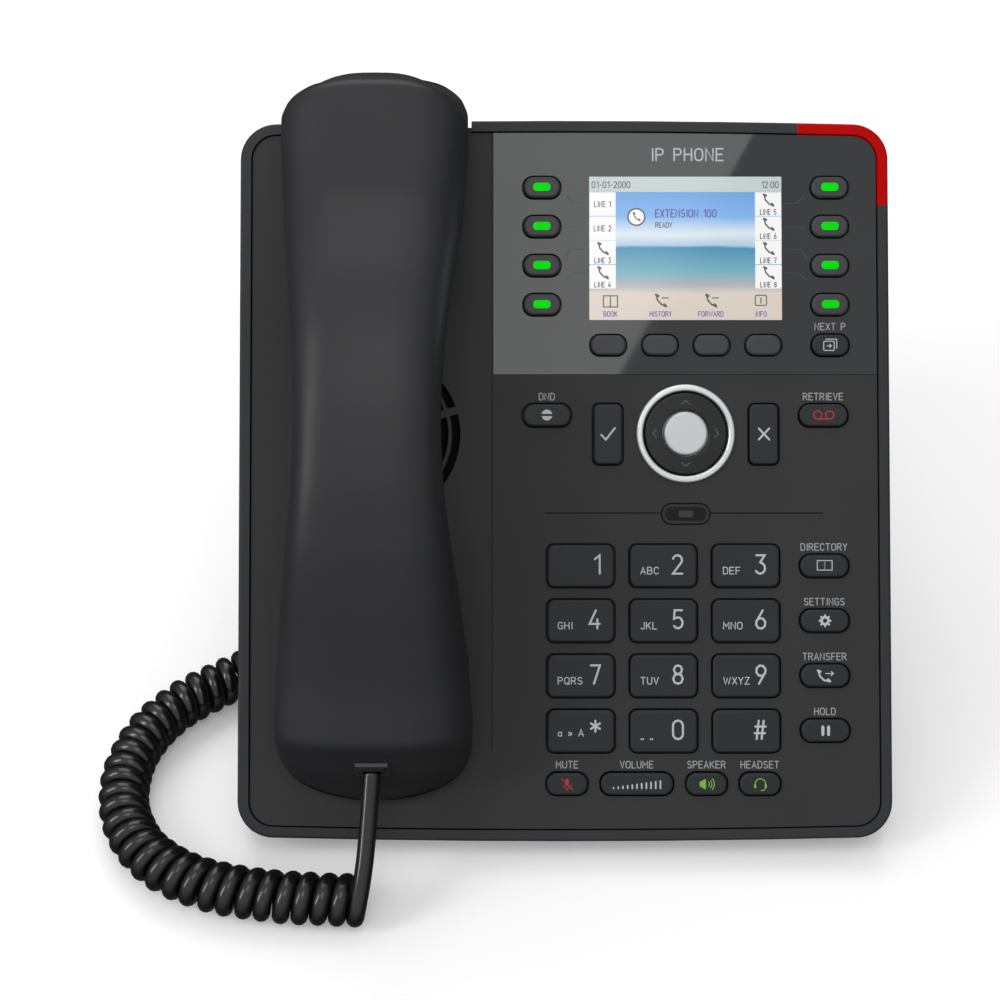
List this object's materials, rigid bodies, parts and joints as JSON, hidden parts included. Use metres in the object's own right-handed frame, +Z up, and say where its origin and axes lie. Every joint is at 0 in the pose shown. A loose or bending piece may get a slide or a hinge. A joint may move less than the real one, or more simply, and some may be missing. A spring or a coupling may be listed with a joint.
{
  "type": "desk ip phone",
  "caption": "Tilted desk IP phone on a clip-in stand, with a colour display, lit line keys, dial pad, navigation ring and a corded handset in a left cradle.",
  "frame": {"origin": "middle of the footprint at desk level, not counting the cord", "axes": "+Z up, front of the phone towards -Y, +X to the right of someone facing the phone"},
  "size_m": [0.2276, 0.1851, 0.1764],
  "materials": {
    "housing": "fine moulded texture, black",
    "front_panel": "fine moulded texture, black",
    "display_cover": "polished dark sheet",
    "handset": "satin moulded texture, black",
    "keys": "smooth satin, black",
    "nav_disc": "smooth gloss, black",
    "bright_trim": "satin bright trim",
    "bright_button": "spun bright face",
    "red_lens": "translucent red, polished",
    "cord": "glossy black jacket",
    "plug_plastic": "glossy black",
    "socket_plastic": "plain black",
    "foot_rubber": "soft matte",
    "screw_steel": "dark plated",
    "inner_metal": "plain",
    "inner_plastic": "natural",
    "circuit_board": "solder mask green",
    "print_white": "printed legends",
    "print_red": "printed red icons",
    "print_green": "printed green icons",
    "lamp_green": "lit green light window",
    "screen_picture": "lit colour display"
  },
  "bodies": {
    "base": {"lower_housing": "housing", "upper_housing": "front_panel", "display_cover": "display_cover", "lcd_module": "inner_metal", "call_indicator": "red_lens", "nav_bezel": "bright_trim", "loudspeaker": "inner_metal", "main_board": "circuit_board", "jacks": "socket_plastic", "stand": "housing", "feet": "foot_rubber", "housing_screws": "screw_steel", "base_plug": "plug_plastic", "cord_leads": "cord", "cord_coil": "cord"},
    "handset": {"handset_back": "handset", "handset_face": "handset", "handset_capsules": "inner_metal", "handset_plug": "plug_plastic"},
    "hook_plunger": {"hook_plunger": "inner_plastic"},
    "nav_gimbal": {"nav_gimbal": "inner_plastic"},
    "nav_ring": {"nav_ring": "nav_disc"},
    "select_button": {"select_button": "bright_button"},
    "volume_rocker": {"volume_rocker": "keys"},
    "confirm_key": {"confirm_key": "keys"},
    "cancel_key": {"cancel_key": "keys"},
    "key_1": {"key_1": "keys"},
    "key_2": {"key_2": "keys"},
    "key_3": {"key_3": "keys"},
    "key_4": {"key_4": "keys"},
    "key_5": {"key_5": "keys"},
    "key_6": {"key_6": "keys"},
    "key_7": {"key_7": "keys"},
    "key_8": {"key_8": "keys"},
    "key_9": {"key_9": "keys"},
    "key_star": {"key_star": "keys"},
    "key_0": {"key_0": "keys"},
    "key_hash": {"key_hash": "keys"},
    "page_key": {"page_key": "keys"},
    "dnd_key": {"dnd_key": "keys"},
    "message_key": {"message_key": "keys"},
    "directory_key": {"directory_key": "keys"},
    "settings_key": {"settings_key": "keys"},
    "transfer_key": {"transfer_key": "keys"},
    "hold_key": {"hold_key": "keys"},
    "mute_key": {"mute_key": "keys"},
    "speaker_key": {"speaker_key": "keys"},
    "headset_key": {"headset_key": "keys"},
    "soft_key_1": {"soft_key_1": "keys"},
    "soft_key_2": {"soft_key_2": "keys"},
    "soft_key_3": {"soft_key_3": "keys"},
    "soft_key_4": {"soft_key_4": "keys"},
    "line_key_left_1": {"line_key_left_1": "keys"},
    "line_key_left_2": {"line_key_left_2": "keys"},
    "line_key_left_3": {"line_key_left_3": "keys"},
    "line_key_left_4": {"line_key_left_4": "keys"},
    "line_key_right_1": {"line_key_right_1": "keys"},
    "line_key_right_2": {"line_key_right_2": "keys"},
    "line_key_right_3": {"line_key_right_3": "keys"},
    "line_key_right_4": {"line_key_right_4": "keys"}
  },
  "joints": [
    {"name": "handset_lift", "type": "slide", "parent": "base", "child": "handset", "axis": [0, -0.7193, 0.6947], "range_m": [0, 0.08], "deforming": ["cord_leads"]},
    {"name": "hook_travel", "type": "slide", "parent": "base", "child": "hook_plunger", "axis": [0, -0.7193, 0.6947], "range_m": [0, 0.0025]},
    {"name": "nav_sideways", "type": "hinge", "parent": "base", "child": "nav_gimbal", "pos_m": [0.0344, 0.00168, 0.09069], "axis": [0, 0.6947, 0.7193], "range_deg": [-2.5, 2.5], "stiffness_Nm_per_rad": 0.8},
    {"name": "nav_up_down", "type": "hinge", "parent": "nav_gimbal", "child": "nav_ring", "pos_m": [0.0344, 0.00168, 0.09069], "axis": [1, 0, 0], "range_deg": [-2.5, 2.5], "stiffness_Nm_per_rad": 0.8},
    {"name": "select_press", "type": "slide", "parent": "base", "child": "select_button", "axis": [0, 0.7193, -0.6947], "range_m": [0, 0.0008], "stiffness_N_per_m": 1500},
    {"name": "volume_rock", "type": "hinge", "parent": "base", "child": "volume_rocker", "pos_m": [0.0203, -0.0668, 0.01906], "axis": [0, 0.6947, 0.7193], "range_deg": [-2.5, 2.5], "stiffness_Nm_per_rad": 0.8},
    {"name": "confirm_key_press", "type": "slide", "parent": "base", "child": "confirm_key", "axis": [0, 0.7193, -0.6947], "range_m": [0, 0.001], "stiffness_N_per_m": 1200},
    {"name": "cancel_key_press", "type": "slide", "parent": "base", "child": "cancel_key", "axis": [0, 0.7193, -0.6947], "range_m": [0, 0.001], "stiffness_N_per_m": 1200},
    {"name": "key_1_press", "type": "slide", "parent": "base", "child": "key_1", "axis": [0, 0.7193, -0.6947], "range_m": [0, 0.001], "stiffness_N_per_m": 1200},
    {"name": "key_2_press", "type": "slide", "parent": "base", "child": "key_2", "axis": [0, 0.7193, -0.6947], "range_m": [0, 0.001], "stiffness_N_per_m": 1200},
    {"name": "key_3_press", "type": "slide", "parent": "base", "child": "key_3", "axis": [0, 0.7193, -0.6947], "range_m": [0, 0.001], "stiffness_N_per_m": 1200},
    {"name": "key_4_press", "type": "slide", "parent": "base", "child": "key_4", "axis": [0, 0.7193, -0.6947], "range_m": [0, 0.001], "stiffness_N_per_m": 1200},
    {"name": "key_5_press", "type": "slide", "parent": "base", "child": "key_5", "axis": [0, 0.7193, -0.6947], "range_m": [0, 0.001], "stiffness_N_per_m": 1200},
    {"name": "key_6_press", "type": "slide", "parent": "base", "child": "key_6", "axis": [0, 0.7193, -0.6947], "range_m": [0, 0.001], "stiffness_N_per_m": 1200},
    {"name": "key_7_press", "type": "slide", "parent": "base", "child": "key_7", "axis": [0, 0.7193, -0.6947], "range_m": [0, 0.001], "stiffness_N_per_m": 1200},
    {"name": "key_8_press", "type": "slide", "parent": "base", "child": "key_8", "axis": [0, 0.7193, -0.6947], "range_m": [0, 0.001], "stiffness_N_per_m": 1200},
    {"name": "key_9_press", "type": "slide", "parent": "base", "child": "key_9", "axis": [0, 0.7193, -0.6947], "range_m": [0, 0.001], "stiffness_N_per_m": 1200},
    {"name": "key_star_press", "type": "slide", "parent": "base", "child": "key_star", "axis": [0, 0.7193, -0.6947], "range_m": [0, 0.001], "stiffness_N_per_m": 1200},
    {"name": "key_0_press", "type": "slide", "parent": "base", "child": "key_0", "axis": [0, 0.7193, -0.6947], "range_m": [0, 0.001], "stiffness_N_per_m": 1200},
    {"name": "key_hash_press", "type": "slide", "parent": "base", "child": "key_hash", "axis": [0, 0.7193, -0.6947], "range_m": [0, 0.001], "stiffness_N_per_m": 1200},
    {"name": "page_key_press", "type": "slide", "parent": "base", "child": "page_key", "axis": [0, 0.7193, -0.6947], "range_m": [0, 0.001], "stiffness_N_per_m": 1200},
    {"name": "dnd_key_press", "type": "slide", "parent": "base", "child": "dnd_key", "axis": [0, 0.7193, -0.6947], "range_m": [0, 0.001], "stiffness_N_per_m": 1200},
    {"name": "message_key_press", "type": "slide", "parent": "base", "child": "message_key", "axis": [0, 0.7193, -0.6947], "range_m": [0, 0.001], "stiffness_N_per_m": 1200},
    {"name": "directory_key_press", "type": "slide", "parent": "base", "child": "directory_key", "axis": [0, 0.7193, -0.6947], "range_m": [0, 0.001], "stiffness_N_per_m": 1200},
    {"name": "settings_key_press", "type": "slide", "parent": "base", "child": "settings_key", "axis": [0, 0.7193, -0.6947], "range_m": [0, 0.001], "stiffness_N_per_m": 1200},
    {"name": "transfer_key_press", "type": "slide", "parent": "base", "child": "transfer_key", "axis": [0, 0.7193, -0.6947], "range_m": [0, 0.001], "stiffness_N_per_m": 1200},
    {"name": "hold_key_press", "type": "slide", "parent": "base", "child": "hold_key", "axis": [0, 0.7193, -0.6947], "range_m": [0, 0.001], "stiffness_N_per_m": 1200},
    {"name": "mute_key_press", "type": "slide", "parent": "base", "child": "mute_key", "axis": [0, 0.7193, -0.6947], "range_m": [0, 0.001], "stiffness_N_per_m": 1200},
    {"name": "speaker_key_press", "type": "slide", "parent": "base", "child": "speaker_key", "axis": [0, 0.7193, -0.6947], "range_m": [0, 0.001], "stiffness_N_per_m": 1200},
    {"name": "headset_key_press", "type": "slide", "parent": "base", "child": "headset_key", "axis": [0, 0.7193, -0.6947], "range_m": [0, 0.001], "stiffness_N_per_m": 1200},
    {"name": "soft_key_1_press", "type": "slide", "parent": "base", "child": "soft_key_1", "axis": [0, 0.7193, -0.6947], "range_m": [0, 0.001], "stiffness_N_per_m": 1200},
    {"name": "soft_key_2_press", "type": "slide", "parent": "base", "child": "soft_key_2", "axis": [0, 0.7193, -0.6947], "range_m": [0, 0.001], "stiffness_N_per_m": 1200},
    {"name": "soft_key_3_press", "type": "slide", "parent": "base", "child": "soft_key_3", "axis": [0, 0.7193, -0.6947], "range_m": [0, 0.001], "stiffness_N_per_m": 1200},
    {"name": "soft_key_4_press", "type": "slide", "parent": "base", "child": "soft_key_4", "axis": [0, 0.7193, -0.6947], "range_m": [0, 0.001], "stiffness_N_per_m": 1200},
    {"name": "line_key_left_1_press", "type": "slide", "parent": "base", "child": "line_key_left_1", "axis": [0, 0.7193, -0.6947], "range_m": [0, 0.001], "stiffness_N_per_m": 1200},
    {"name": "line_key_left_2_press", "type": "slide", "parent": "base", "child": "line_key_left_2", "axis": [0, 0.7193, -0.6947], "range_m": [0, 0.001], "stiffness_N_per_m": 1200},
    {"name": "line_key_left_3_press", "type": "slide", "parent": "base", "child": "line_key_left_3", "axis": [0, 0.7193, -0.6947], "range_m": [0, 0.001], "stiffness_N_per_m": 1200},
    {"name": "line_key_left_4_press", "type": "slide", "parent": "base", "child": "line_key_left_4", "axis": [0, 0.7193, -0.6947], "range_m": [0, 0.001], "stiffness_N_per_m": 1200},
    {"name": "line_key_right_1_press", "type": "slide", "parent": "base", "child": "line_key_right_1", "axis": [0, 0.7193, -0.6947], "range_m": [0, 0.001], "stiffness_N_per_m": 1200},
    {"name": "line_key_right_2_press", "type": "slide", "parent": "base", "child": "line_key_right_2", "axis": [0, 0.7193, -0.6947], "range_m": [0, 0.001], "stiffness_N_per_m": 1200},
    {"name": "line_key_right_3_press", "type": "slide", "parent": "base", "child": "line_key_right_3", "axis": [0, 0.7193, -0.6947], "range_m": [0, 0.001], "stiffness_N_per_m": 1200},
    {"name": "line_key_right_4_press", "type": "slide", "parent": "base", "child": "line_key_right_4", "axis": [0, 0.7193, -0.6947], "range_m": [0, 0.001], "stiffness_N_per_m": 1200}
  ],
  "couplings": [
    {"joint": "hook_travel", "follows": "handset_lift", "ratio": 0.03125}
  ]
}
